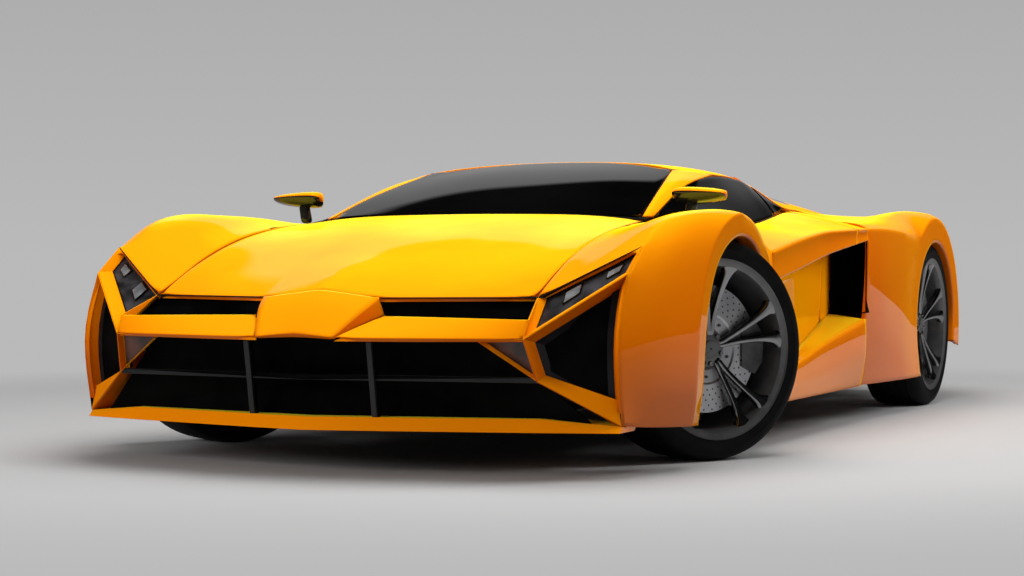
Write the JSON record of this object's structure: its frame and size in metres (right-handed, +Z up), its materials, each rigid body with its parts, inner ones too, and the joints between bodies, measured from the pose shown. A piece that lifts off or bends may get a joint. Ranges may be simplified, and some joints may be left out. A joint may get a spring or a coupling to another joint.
{
  "type": "electric hypercar",
  "caption": "Low two-seat electric hypercar with scissor doors, hinged front and rear lids, steered front wheels and free-rolling wheels on wishbones.",
  "frame": {"origin": "on the ground under the middle of the car's overall length and width", "axes": "+X to the car's left, +Y to the tail, +Z up; the nose points along -Y"},
  "size_m": [2.233, 4.789, 0.9999],
  "materials": {
    "alloy": "polished dark grey",
    "black_mesh": "satin black mesh",
    "block": "plain closed housing",
    "carbon": "satin carbon weave",
    "glass": "dark tinted",
    "lamp": "clear lens over a dark housing",
    "leather": "black leather with stitching",
    "paint": "high-gloss yellow-orange lacquer",
    "red_lamp": "dark red lens",
    "steel": "machined",
    "tyre": "smooth-walled black rubber"
  },
  "bodies": {
    "root": {"battery_block": "block", "chin_lip": "paint", "cowl": "black_mesh", "dashboard": "leather", "diffuser": "carbon", "drive_motor": "block", "front_boot": "carbon", "front_fender_left": "paint", "front_fender_right": "paint", "front_grille": "black_mesh", "headlamps": "lamp", "nose_frame": "paint", "quarter_glass": "glass", "rear_bumper": "paint", "rear_carriers": "steel", "rear_quarter_left": "paint", "rear_quarter_right": "paint", "roof": "paint", "running_lamps": "red_lamp", "seats": "leather", "side_ducts": "black_mesh", "side_intakes": "black_mesh", "side_sills": "paint", "tail_lamps": "red_lamp", "tub": "carbon", "wheel_liners": "black_mesh", "windscreen": "glass", "wishbones": "steel"},
    "front_lid": {"front_lid": "paint"},
    "rear_lid": {"rear_lid": "paint", "rear_glass": "glass"},
    "door_left": {"door_left": "paint", "door_glass_left": "glass", "door_mirror_left": "paint"},
    "door_right": {"door_right": "paint", "door_glass_right": "glass", "door_mirror_right": "paint"},
    "knuckle_left": {"knuckle_left": "steel"},
    "knuckle_right": {"knuckle_right": "steel"},
    "steering_wheel": {"steering_wheel": "leather"},
    "wheel_front_left": {"wheel_front_left": "alloy", "tyre_front_left": "tyre"},
    "wheel_front_right": {"wheel_front_right": "alloy", "tyre_front_right": "tyre"},
    "wheel_rear_left": {"wheel_rear_left": "alloy", "tyre_rear_left": "tyre"},
    "wheel_rear_right": {"wheel_rear_right": "alloy", "tyre_rear_right": "tyre"}
  },
  "joints": [
    {"name": "front_lid_hinge", "type": "hinge", "parent": "root", "child": "front_lid", "pos_m": [0, -1.178, 0.728], "axis": [-1, 0, 0], "range_deg": [0, 50]},
    {"name": "rear_lid_hinge", "type": "hinge", "parent": "root", "child": "rear_lid", "pos_m": [0, 2.25, 0.702], "axis": [-1, 0, 0], "range_deg": [0, 45]},
    {"name": "door_left_hinge", "type": "hinge", "parent": "root", "child": "door_left", "pos_m": [0.69, -1.15, 0.7], "axis": [1, 0, 0], "range_deg": [0, 70]},
    {"name": "door_right_hinge", "type": "hinge", "parent": "root", "child": "door_right", "pos_m": [-0.69, -1.15, 0.7], "axis": [1, 0, 0], "range_deg": [0, 70]},
    {"name": "steer_left", "type": "hinge", "parent": "root", "child": "knuckle_left", "pos_m": [0.85, -1.35, 0.345], "axis": [0, 0, 1], "range_deg": [-4, 66]},
    {"name": "steer_right", "type": "hinge", "parent": "root", "child": "knuckle_right", "pos_m": [-0.85, -1.35, 0.345], "axis": [0, 0, 1], "range_deg": [-4, 66]},
    {"name": "steering_wheel_turn", "type": "hinge", "parent": "root", "child": "steering_wheel", "pos_m": [0.35, -0.56, 0.61], "axis": [0, 0.9272, 0.3746], "range_deg": [-24, 396]},
    {"name": "spin_front_left", "type": "hinge", "parent": "knuckle_left", "child": "wheel_front_left", "pos_m": [0.85, -1.35, 0.345], "axis": [0.8572, -0.515, 0], "continuous": true},
    {"name": "spin_front_right", "type": "hinge", "parent": "knuckle_right", "child": "wheel_front_right", "pos_m": [-0.85, -1.35, 0.345], "axis": [0.8572, -0.515, 0], "continuous": true},
    {"name": "spin_rear_left", "type": "hinge", "parent": "root", "child": "wheel_rear_left", "pos_m": [0.845, 1.45, 0.345], "axis": [1, 0, 0], "continuous": true},
    {"name": "spin_rear_right", "type": "hinge", "parent": "root", "child": "wheel_rear_right", "pos_m": [-0.845, 1.45, 0.345], "axis": [1, 0, 0], "continuous": true}
  ],
  "couplings": [
    {"joint": "steer_right", "follows": "steer_left", "ratio": 1},
    {"joint": "steering_wheel_turn", "follows": "steer_left", "ratio": 6}
  ]
}
